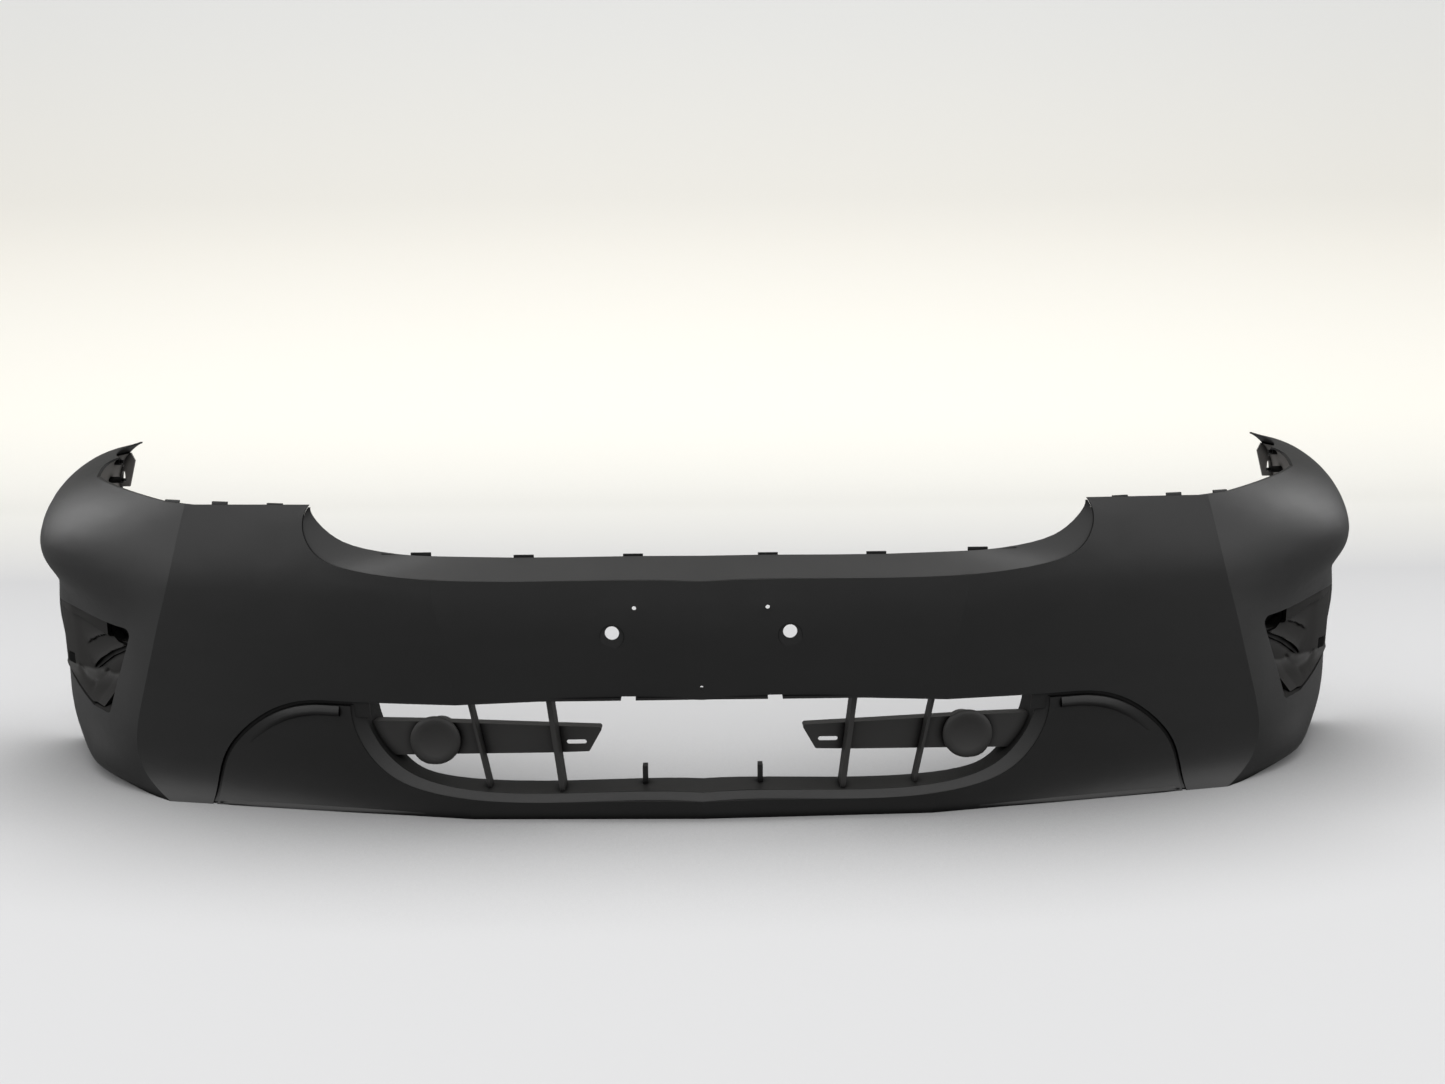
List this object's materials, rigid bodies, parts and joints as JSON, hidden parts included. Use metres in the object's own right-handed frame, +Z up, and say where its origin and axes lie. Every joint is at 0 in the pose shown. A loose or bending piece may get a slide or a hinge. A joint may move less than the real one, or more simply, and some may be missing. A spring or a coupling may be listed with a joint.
{
  "type": "bumper cover",
  "caption": "Unpainted black front bumper cover with an inset lower valance, open intake with slotted arms, fog lamp recesses and wrapped wings.",
  "frame": {"origin": "on the floor under the middle of the bounding box", "axes": "+X across the vehicle to its left, -Y to the front, +Z up"},
  "size_m": [1.8486, 0.557, 0.405],
  "materials": {
    "cover_plastic": "fine grain, unpainted",
    "valance_plastic": "fine grain, unpainted",
    "intake_plastic": "smooth, as moulded",
    "bezel_plastic": "smooth, as moulded",
    "retainer_plastic": "smooth, as moulded",
    "bracket_plastic": "smooth, as moulded",
    "fastener_steel": "zinc plated, dull",
    "fastener_plastic": "smooth, as moulded"
  },
  "bodies": {
    "root": {"bumper_skin": "cover_plastic", "lower_valance": "valance_plastic", "grille_retainer": "retainer_plastic", "headlamp_retainer_left": "retainer_plastic", "headlamp_retainer_right": "retainer_plastic", "intake_arm_left": "intake_plastic", "intake_arm_right": "intake_plastic", "round_boss_left": "intake_plastic", "round_boss_right": "intake_plastic", "intake_bar_inner_left": "intake_plastic", "intake_bar_inner_right": "intake_plastic", "intake_bar_outer_left": "intake_plastic", "intake_bar_outer_right": "intake_plastic", "fog_bezel_left": "bezel_plastic", "fog_bezel_right": "bezel_plastic", "wing_bracket_left": "bracket_plastic", "wing_bracket_right": "bracket_plastic", "valance_screws": "fastener_steel", "bezel_screws": "fastener_steel", "retainer_rivets": "fastener_plastic", "bracket_rivets": "fastener_plastic"}
  },
  "joints": []
}
